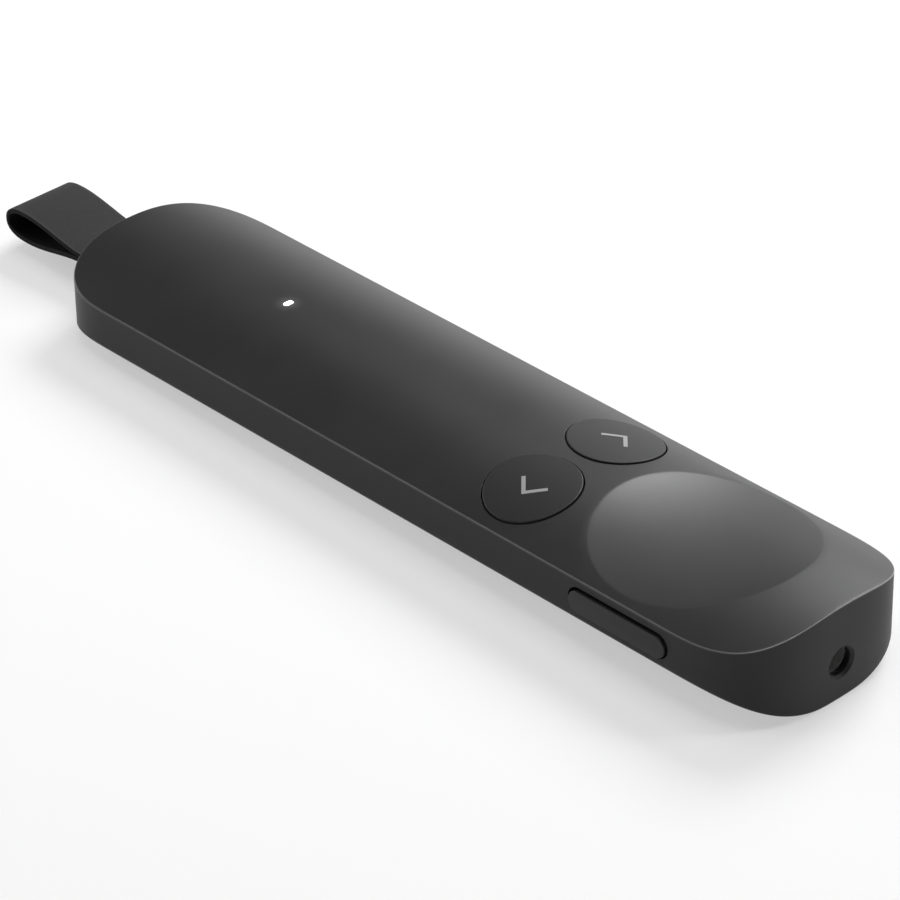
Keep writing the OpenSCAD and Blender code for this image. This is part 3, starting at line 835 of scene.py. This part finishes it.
def webbing_tree():
    """Sweeps a flat rounded section along a path and notes where each point is on the cloth."""
    group = bpy.data.node_groups.new("Webbing", "GeometryNodeTree")
    new_socket = group.interface.new_socket
    new_socket("Geometry", in_out="INPUT", socket_type="NodeSocketGeometry")
    for name, default in (("Width", 9.8), ("Thickness", 0.62), ("Round", 0.16)):
        socket = new_socket(name, in_out="INPUT", socket_type="NodeSocketFloat")
        socket.default_value = default * MM
    new_socket("Material", in_out="INPUT", socket_type="NodeSocketMaterial")
    new_socket("Geometry", in_out="OUTPUT", socket_type="NodeSocketGeometry")
    tree = Tree(group)
    given = tree.node("NodeGroupInput")
    section = tree.node(
        "GeometryNodeCurvePrimitiveQuadrilateral", Width=given["Width"], Height=given["Thickness"]
    )
    rounded = tree.node(
        "GeometryNodeFilletCurve", {"mode": "POLY"}, Curve=section, Count=5, Radius=given["Round"]
    )
    along = tree.node("GeometryNodeSplineParameter")["Length"]
    noted = tree.node("GeometryNodeCaptureAttribute", {"domain": "POINT"})
    capture = noted.socket.node
    capture.capture_items.new("FLOAT", "Length")
    tree.feed(capture, Geometry=given["Geometry"], Length=along)
    level = tree.node("GeometryNodeSetCurveNormal", {"mode": "FREE"}, Curve=noted, Normal=(0, 1, 0))
    swept = tree.node("GeometryNodeCurveToMesh", Curve=level, Profile_Curve=rounded, Fill_Caps=True)
    _, across, _ = tree.split(tree.node("GeometryNodeInputPosition"))
    cloth = tree.node("ShaderNodeCombineXYZ", X=across, Y=noted["Length"])
    stored = tree.node(
        "GeometryNodeStoreNamedAttribute",
        {"data_type": "FLOAT_VECTOR", "domain": "POINT"},
        Geometry=swept,
        Name="cloth",
        Value=cloth,
    )
    smooth = tree.node("GeometryNodeSetShadeSmooth", Geometry=stored)
    real = tree.node("GeometryNodeRealizeInstances", Geometry=smooth)
    dressed = tree.node("GeometryNodeSetMaterial", Geometry=real, Material=given["Material"])
    tree.node("NodeGroupOutput", Geometry=dressed)
    return group


def grown(name, carrier, group, inputs):
    """The mesh that a node tree makes of a carrier object, as a new object."""
    modifier = carrier.modifiers.new("Grow", "NODES")
    modifier.node_group = group
    for item in group.interface.items_tree:
        if item.item_type == "SOCKET" and item.in_out == "INPUT" and item.name in inputs:
            modifier[item.identifier] = inputs[item.name]
    bpy.context.view_layer.update()
    made = carrier.evaluated_get(bpy.context.evaluated_depsgraph_get())
    mesh = bpy.data.meshes.new_from_object(made)
    mesh.name = name
    carrier.modifiers.remove(modifier)
    bpy.data.objects.remove(carrier)
    return placed(name, mesh)


# ---- finishes


class Finish(Tree):
    """A material in the making, around one Principled shader."""

    def __init__(self, name, **sockets):
        self.material = bpy.data.materials.new(name)
        self.material.use_nodes = True
        super().__init__(self.material.node_tree)
        self.shader = self.tree.nodes["Principled BSDF"]
        self.feed(self.shader, **sockets)

    def place(self):
        """Where a point is on its own object, in metres."""
        return self.node("ShaderNodeTexCoord")["Object"]

    def facing(self):
        """The way the surface faces."""
        return self.node("ShaderNodeNewGeometry")["Normal"]

    def vector(self, operation, one, other):
        """A Vector Math node."""
        settings = {"operation": operation}
        return self.node("ShaderNodeVectorMath", settings, i_0=one, i_1=other)

    def noise(self, scale, detail=4, roughness=0.55, vector=None):
        """Noise from 0 to 1 over the object, with scale in lumps a metre."""
        vector = vector or self.place()
        return self.node(
            "ShaderNodeTexNoise", Vector=vector, Scale=scale, Detail=detail, Roughness=roughness
        )

    def cells(self, scale):
        """Rounded cells: 0 in the middle of each."""
        return self.node("ShaderNodeTexVoronoi", Vector=self.place(), Scale=scale)

    def between(self, share, low, high):
        """A colour between two colours."""
        settings = {"data_type": "RGBA"}
        return self.node("ShaderNodeMix", settings, Factor=share, i_6=low, i_7=high)[2]

    def done(self, tone, dull, height, strength, depth):
        """The material with its colour, its roughness and its bumps, their depth in mm."""
        bump = self.node("ShaderNodeBump", Height=height, Strength=strength, Distance=depth * MM)
        self.feed(self.shader, Base_Color=tone, Roughness=dull, Normal=bump)
        return self.material


def scaled(rgb, factor):
    """A colour made lighter or darker."""
    return tuple(min(1.0, c * factor) for c in rgb)


def moulded(name, rgb, rough, grain, depth, spec=0.5, glow=None):
    """Satin plastic with faint handling marks and a fine grain.

    glow is where the status light is, and the plastic round it emits a faint painted glow. The
    outer edge gets a painted highlight: up to thirty times the colour and less roughness, most at the nose."""
    finish = Finish(name, Specular_IOR_Level=spec)
    haze, smear = finish.noise(90, 5), finish.noise(28, 3, 0.4)
    tone = finish.between(haze, scaled(rgb, 0.88), scaled(rgb, 1.14))
    dull = haze * 0.08 + smear * 0.06 + (rough - 0.07)
    if glow:
        # Painted highlight: edges that face half up, most towards the nose, get up to thirty times the colour, and
        # their roughness is lowered.
        ahead, _, up = finish.split(finish.facing())
        edge = (1 - (up - 0.5).size() * 3).clamped()
        tone = finish.between(edge * (ahead + 0.22).clamped(), tone, scaled(rgb, 30))
        dull = dull - edge * 0.14
        # Painted glow: the casing itself emits a faint halo round the status light.
        away = finish.vector("DISTANCE", finish.place(), glow)["Value"]
        near = (1 - away * (1 / PAINTED_GLOW_REACH)).clamped()
        shine = finish.between(near * near, (0, 0, 0), (0.11, 0.11, 0.11))
        finish.feed(finish.shader, Emission_Color=shine, Emission_Strength=1)
    height = finish.cells(grain) * 0.7 + finish.noise(grain * 0.6, 2) * 0.5
    return finish.done(tone, dull, height, 0.1, depth)


def plated(name, rgb, rough, streak=(1, 1, 1)):
    """Plated or rolled metal, with fine streaks and a few dull patches."""
    finish = Finish(name, Metallic=1)
    stretched = finish.node("ShaderNodeMapping", Vector=finish.place(), Scale=streak)
    lines, patches = finish.noise(2600, 3, 0.6, stretched), finish.noise(260)
    tone = finish.between(patches, scaled(rgb, 0.82), scaled(rgb, 1.08))
    dull = lines * 0.16 + patches * 0.12 + (rough - 0.14)
    return finish.done(tone, dull, lines, 0.25, 0.02)


def board_finish():
    """Green solder mask over copper runs, with bare pads."""
    finish = Finish("circuit_board", Coat_Weight=0.4, Coat_Roughness=0.15)
    x, y, _ = finish.split(finish.place())
    runs = ((y * 5200 + finish.noise(220, 1) * 4).sine() * 0.5 + 0.5).above(0.72)
    pads = 1 - finish.cells(900).above(0.17)
    finish.feed(finish.shader, Metallic=pads)
    mask = finish.between(runs, (0.008, 0.07, 0.035), (0.014, 0.13, 0.06))
    tone = finish.between(pads, mask, (0.75, 0.6, 0.3))
    dull = 0.42 - pads * 0.14 + finish.noise(400) * 0.08
    return finish.done(tone, dull, runs * 0.6 + pads + (x * 900).sine() * 0.02, 0.4, 0.03)


def webbing_finish(rgb, eye):
    """Tightly woven webbing: ribs across, a fine twill over them and paler edge yarns.

    Painted shade darkens it to 0.12 of its colour on its cut edges, which face sideways, and inside the loop. eye
    is the middle of the loop."""
    finish = Finish("webbing", Specular_IOR_Level=0.15, Sheen_Weight=0.02, Sheen_Roughness=0.45)
    cloth = finish.node("ShaderNodeAttribute", {"attribute_name": "cloth"})["Vector"]
    across, along, _ = finish.split(cloth)
    warp = (across * (2 * math.pi / (0.42 * MM))).sine()
    weft = (along * (2 * math.pi / (0.3 * MM))).sine()
    weave = warp * weft * 0.5 + 0.5
    fuzz = finish.noise(5200, 3, 0.7)
    edge = ((across.size() - 4.35 * MM) * 2200).clamped()
    tone = (weave * 0.5 + fuzz * 0.5).clamped()
    yarn = finish.between(tone, scaled(rgb, 0.55), scaled(rgb, 1.35))
    yarn = finish.between(edge * 0.5, yarn, scaled(rgb, 1.7))
    # Painted shade: faces that turn towards the loop's middle, and faces turned sideways, fall to 0.12 of the
    # colour.
    facing = finish.facing()
    out = finish.vector("SUBTRACT", finish.place(), eye)
    out = finish.vector("DOT_PRODUCT", out, facing)["Value"]
    _, flank, _ = finish.split(facing)
    shown = (out * 2000).clamped() * (2.2 - flank.size() * 2.4).clamped()
    tone = finish.between(shown, scaled(rgb, 0.12), yarn)
    dull = 0.72 + fuzz * 0.16 - weave * 0.08
    return finish.done(tone, dull, weave * 0.8 + fuzz * 0.3, 0.55, 0.06)


def lit_window(rgb):
    """A milky window lit from below, its brightness varying in faint patches."""
    finish = Finish("light_window", Emission_Strength=1.6)
    glow = finish.noise(900, 2)
    shine = finish.between(glow, scaled(rgb, 0.82), rgb)
    finish.feed(finish.shader, Emission_Color=shine)
    return finish.done(finish.between(glow, scaled(rgb, 0.9), rgb), 0.3, glow, 0.05, 0.01)


def coated_glass():
    """A small lens with a faint green coating."""
    finish = Finish("lens_glass", Transmission_Weight=0.85, IOR=1.5, Coat_Weight=0.5)
    ring = finish.noise(700, 2)
    tone = finish.between(ring, (0.6, 0.78, 0.7), (0.72, 0.82, 0.84))
    return finish.done(tone, ring * 0.06 + 0.02, ring, 0.03, 0.01)


def foil_finish():
    """Crimped foil pouch, softly dented."""
    finish = Finish("pouch_foil", Metallic=1)
    dents, scuffs = finish.noise(160, 3), finish.noise(1300, 5)
    tone = finish.between(dents, (0.55, 0.56, 0.58), (0.74, 0.75, 0.77))
    return finish.done(tone, scuffs * 0.2 + 0.22, dents * 1.2 + scuffs * 0.1, 0.4, 0.12)


def film_finish():
    """Amber film with copper lines under it."""
    finish = Finish("flex_film", Coat_Weight=0.6, Coat_Roughness=0.12)
    _, y, _ = finish.split(finish.place())
    lines = (y * 15000).sine().above(0.2)
    tone = finish.between(lines, (0.3, 0.12, 0.02), (0.55, 0.28, 0.1))
    return finish.done(tone, 0.38 - lines * 0.08 + finish.noise(900) * 0.06, lines, 0.3, 0.02)


def foam_finish():
    """Closed-cell adhesive foam."""
    finish = Finish("foam")
    pores = finish.cells(5200)
    tone = finish.between(pores, (0.03, 0.03, 0.03), (0.11, 0.11, 0.11))
    return finish.done(tone, 0.9 - pores * 0.1, pores, 0.7, 0.05)


# Each row: colour, roughness, grains a metre and their depth in millimetres.
MOULDED_SLOTS = {
    "frame_plastic": ((0.012, 0.012, 0.012), 0.55, 6000, 0.04),
    "chip_black": ((0.01, 0.01, 0.011), 0.5, 12000, 0.02),
    "ivory_plastic": ((0.6, 0.56, 0.45), 0.4, 5000, 0.02),
    "ceramic": ((0.7, 0.7, 0.66), 0.6, 8000, 0.02),
    "red_wire": ((0.4, 0.01, 0.01), 0.35, 3000, 0.02),
    "black_wire": ((0.01, 0.01, 0.01), 0.35, 3000, 0.02),
    "led_package": ((0.8, 0.76, 0.5), 0.3, 6000, 0.01),
}
# Each row: colour, roughness and how the streaks are stretched.
PLATED_SLOTS = {
    "plug_steel": ((0.55, 0.55, 0.56), 0.3, (0.08, 1, 1)),
    "screw_steel": ((0.48, 0.48, 0.5), 0.34),
    "shield_tin": ((0.62, 0.62, 0.62), 0.36, (1, 0.1, 1)),
    "dome_steel": ((0.6, 0.6, 0.58), 0.28),
    "motor_steel": ((0.5, 0.5, 0.52), 0.32, (1, 1, 0.1)),
    "copper": ((0.7, 0.36, 0.2), 0.35),
    "barrel_brass": ((0.62, 0.61, 0.6), 0.5, (0.1, 1, 1)),
    "diode_gold": ((0.75, 0.55, 0.22), 0.28),
}


def slot_finishes(finish, light, eye):
    """The finish of each of the record's material slots, and the shell's coarser one, darkened as painted shade.

    light is where the status light is, and eye the middle of the strap's loop."""
    casing, keys, marks = tuple(finish.casing), tuple(finish.keys), tuple(finish.marks)
    rows = {
        # light gives the casing's finish its painted glow round the status light and its painted edge highlight.
        "casing": (casing, 0.33, 9000, 0.03, 0.5, light),
        # Painted shade: the shell is the casing's plastic with its colour cut to 0.85, so the walls look shaded;
        # it is also rougher and less glossy.
        "shell": (scaled(casing, 0.85), 0.48, 7000, 0.03, 0.25),
        "keycap": (keys, 0.42, 11000, 0.02, 0.3),
        "key_mark": (marks, 0.5, 14000, 0.01),
        "receiver_plastic": (keys, 0.48, 9000, 0.03),
        **MOULDED_SLOTS,
    }
    return {
        **{name: moulded(name, *row) for name, row in rows.items()},
        **{name: plated(name, *row) for name, row in PLATED_SLOTS.items()},
        "circuit_board": board_finish(),
        "pouch_foil": foil_finish(),
        "flex_film": film_finish(),
        "foam": foam_finish(),
        "light_window": lit_window(tuple(finish.light)),
        "lens_glass": coated_glass(),
        "strap_fabric": webbing_finish(tuple(finish.strap), eye),
    }


# ---- stage


# Each lamp's angles in degrees, from +X and from the floor, its distance and its sides.
LAMPS = {
    "back": (101, 41, 0.55, 0.24, 0.3),
    "high": (125, 50, 0.55, 0.3, 0.3),
    "left": (190, 22, 0.55, 0.3, 0.2),
    "near": (226, 38, 0.6, 0.14, 0.14),
    "rim": (47, 36, 0.6, 0.1, 0.1),
    "top": (0, 90, 0.9, 0.6, 0.6),
}
TARGET = (12.07 * MM, -4.84 * MM, 7.85 * MM)


def seen_pale(tree, lit, seen, share=1):
    """Mixes in what looks pale for rays that look at the background, and for no others."""
    path = tree.node("ShaderNodeLightPath")
    look = path["Is Camera Ray"] + path["Is Glossy Ray"] + path["Is Transmission Ray"]
    return tree.node("ShaderNodeMixShader", Fac=look.clamped() * share, i_1=lit, i_2=seen)


def make_world(stage):
    """Dim, even surroundings that look pale at the horizon."""
    world = bpy.data.worlds.new("Surroundings")
    bpy.context.scene.world = world
    world.use_nodes = True
    world.node_tree.nodes.clear()
    tree = Tree(world.node_tree)
    lit, seen = (
        tree.node("ShaderNodeBackground", Color=(1, 1, 1), Strength=strength)
        for strength in (stage.sky, stage.horizon)
    )
    _, _, up = tree.split(tree.node("ShaderNodeTexCoord")["Generated"])
    low = (1.3 - up * 3).clamped()
    tree.node("ShaderNodeOutputWorld", Surface=seen_pale(tree, lit, seen, low))


def make_floor(stage):
    """A wide pale floor that keeps the object's shadow."""
    bm = bmesh.new()
    bmesh.ops.create_circle(bm, cap_ends=True, radius=3, segments=96)
    mesh = bpy.data.meshes.new("floor")
    bm.to_mesh(mesh)
    bm.free()
    finish = Finish("floor", Base_Color=tuple(stage.floor), Roughness=0.9)
    lit = Value(finish, finish.shader.outputs[0])
    white = finish.node("ShaderNodeEmission", Color=(1, 1, 1), Strength=1)
    shown = seen_pale(finish, lit, white, stage.bleach)
    finish.feed(finish.tree.nodes["Material Output"], Surface=shown)
    mesh.materials.append(finish.material)
    placed("floor", mesh)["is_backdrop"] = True


def aimed(data, azimuth, elevation, reach, target=(0, 0, 0)):
    """A lamp or camera that faces a target. Angles are in degrees, from +X and the floor."""
    turn, rise = math.radians(azimuth), math.radians(elevation)
    flat = math.cos(rise)
    away = Vector((math.cos(turn) * flat, math.sin(turn) * flat, math.sin(rise)))
    made = placed(data.name, data)
    made.location = Vector(target) + away * reach
    made.rotation_euler = away.to_track_quat("Z", "Y").to_euler()
    return made


def make_lamps(stage):
    """The soft lamps round the clicker."""
    for name, (azimuth, elevation, reach, *sides) in LAMPS.items():
        lamp = bpy.data.lights.new(f"{name}_lamp", "AREA")
        lamp.shape = "RECTANGLE"
        lamp.size, lamp.size_y = sides
        lamp.energy = getattr(stage, name)
        aimed(lamp, azimuth, elevation, reach)


def make_camera(stage):
    """The camera, level and turned to its target. Its own angle starts from -Y."""
    camera = bpy.data.cameras.new("camera")
    camera.lens = stage.lens
    camera.sensor_width = 36
    camera.clip_start, camera.clip_end = 0.05, 20
    azimuth = stage.azimuth - 90
    made = aimed(camera, azimuth, stage.elevation, stage.distance, TARGET)
    bpy.context.scene.camera = made


# ---- operators

made_once = {}


def kit():
    """The sizes in millimetres, the outside shape, its frame and the finishes, made once."""
    if not made_once:
        scene = bpy.context.scene
        shape = Shape(scene.clicker_body)
        keys = SimpleNamespace(**in_mm(scene.clicker_keys))
        tail = SimpleNamespace(**in_mm(scene.clicker_tail))
        deck = deck_matrix(shape)
        light = deck @ Vector((keys.light_at, 0, 0))
        eye = deck @ Vector((-0.7 * shape.loop_reach, 0, -tail.down))
        finishes = slot_finishes(scene.clicker_finish, tuple(light), tuple(eye))
        made_once.update(shape=shape, keys=keys, tail=tail, deck=deck, finishes=finishes)
    return SimpleNamespace(**made_once)


class CLICKER_OT_stage(bpy.types.Operator):
    """Makes the surroundings, the floor, the lamps and the camera"""

    bl_idname = "clicker.stage"
    bl_label = "Stage"

    def execute(self, context):
        stage = context.scene.clicker_stage
        make_world(stage)
        make_floor(stage)
        make_lamps(stage)
        make_camera(stage)
        context.scene.view_settings.view_transform = "Standard"
        return {"FINISHED"}


class CLICKER_OT_casing(bpy.types.Operator):
    """Builds the cover with its dish, and the shell below it"""

    bl_idname = "clicker.casing"
    bl_label = "Casing"

    def execute(self, context):
        made = kit()
        cover = cover_skin(made.shape, made.keys)
        finish_piece("cover", cover, "housing", "top_cover", "casing")
        shell = side_skin(made.shape, made.keys, made.tail)
        finish_piece("shell", shell, "housing", "body_shell", "casing", "shell")
        return {"FINISHED"}


class CLICKER_OT_round_keys(bpy.types.Operator):
    """Builds the back and next keys and their marks"""

    bl_idname = "clicker.round_keys"
    bl_label = "Round keys"

    def execute(self, context):
        made = kit()
        for name, side in (("back", 1), ("next", -1)):
            cap = round_key_skin(made.shape, made.keys, side)
            finish_piece(f"{name}_cap", cap, f"{name}_key", f"{name}_button", "keycap")
            mark = mark_skin(made.shape, made.keys, side)
            finish_piece(f"{name}_chevron", mark, f"{name}_key", f"{name}_mark", "key_mark")
        return {"FINISHED"}


class CLICKER_OT_side_key(bpy.types.Operator):
    """Builds the pill-shaped key in the side wall"""

    bl_idname = "clicker.side_key"
    bl_label = "Side key"

    def execute(self, context):
        cap = side_key_skin(kit().shape, kit().keys)
        finish_piece("side_cap", cap, "side_key", "side_button", "keycap")
        return {"FINISHED"}


class CLICKER_OT_receiver(bpy.types.Operator):
    """Builds the receiver's grip"""

    bl_idname = "clicker.receiver"
    bl_label = "Receiver"

    def execute(self, context):
        grip = receiver_skin(kit().shape, kit().tail)
        finish_piece("receiver_grip", grip, "receiver", "receiver_shell", "receiver_plastic")
        return {"FINISHED"}


class CLICKER_OT_strap(bpy.types.Operator):
    """Builds the folded webbing loop"""

    bl_idname = "clicker.strap"
    bl_label = "Strap"

    def execute(self, context):
        made = kit()
        points = [made.deck @ Vector(p) for p in strap_path(made.tail)]
        curve = bpy.data.curves.new("strap_path", "CURVE")
        curve.dimensions = "3D"
        spline = curve.splines.new("POLY")
        spline.points.add(len(points) - 1)
        for point, place in zip(spline.points, points):
            point.co = (*place, 1)
        inputs = {
            "Width": context.scene.clicker_tail.strap_wide,
            "Thickness": context.scene.clicker_tail.strap_thick,
            "Material": made.finishes["strap_fabric"],
        }
        strap = grown("strap", placed("strap_path", curve), webbing_tree(), inputs)
        hand_over(strap, "receiver", "strap_loop")
        return {"FINISHED"}


class CLICKER_OT_inside(bpy.types.Operator):
    """Gives every CAD solid that stays its slot's finish"""

    bl_idname = "clicker.inside"
    bl_label = "Inside parts"

    def execute(self, context):
        finishes = kit().finishes
        slots = {row["node"]: row["material_slot"] for row in frame["record"]["subparts"]}
        for name, node in frame["nodes"].items():
            node.data.materials.clear()
            node.data.materials.append(finishes[slots[name]])
        return {"FINISHED"}


class CLICKER_PT_panel(bpy.types.Panel):
    """Lists the clicker's pieces and settings"""

    bl_idname = "CLICKER_PT_panel"
    bl_label = "Presentation clicker"
    bl_space_type = "VIEW_3D"
    bl_region_type = "UI"
    bl_category = "Clicker"

    def draw(self, context):
        for operator in OPERATORS:
            self.layout.operator(operator.bl_idname)
        for group in GROUPS:
            box = self.layout.box()
            held = getattr(context.scene, group)
            for name in held.__annotations__:
                box.prop(held, name)


OPERATORS = (
    CLICKER_OT_stage,
    CLICKER_OT_casing,
    CLICKER_OT_round_keys,
    CLICKER_OT_side_key,
    CLICKER_OT_receiver,
    CLICKER_OT_strap,
    CLICKER_OT_inside,
)
GROUPS = {
    "clicker_body": ClickerBody,
    "clicker_keys": ClickerKeys,
    "clicker_tail": ClickerTail,
    "clicker_finish": ClickerFinish,
    "clicker_stage": ClickerStage,
}
CLASSES = (*GROUPS.values(), *OPERATORS, CLICKER_PT_panel)


def register():
    for cls in CLASSES:
        bpy.utils.register_class(cls)
    for name, cls in GROUPS.items():
        setattr(bpy.types.Scene, name, PointerProperty(type=cls))


def unregister():
    for name in GROUPS:
        delattr(bpy.types.Scene, name)
    for cls in reversed(CLASSES):
        bpy.utils.unregister_class(cls)


def corners(box):
    """A box's two corners as plain lists."""
    return [list(corner) for corner in box]


def main():
    sizes = {"cad": corners(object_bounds())}
    register()
    bpy.ops.clicker.stage()
    bpy.ops.clicker.casing()
    bpy.ops.clicker.round_keys()
    bpy.ops.clicker.side_key()
    bpy.ops.clicker.receiver()
    bpy.ops.clicker.strap()
    bpy.ops.clicker.inside()
    sizes["visual"] = corners(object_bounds())


if __name__ == "__main__":
    main()
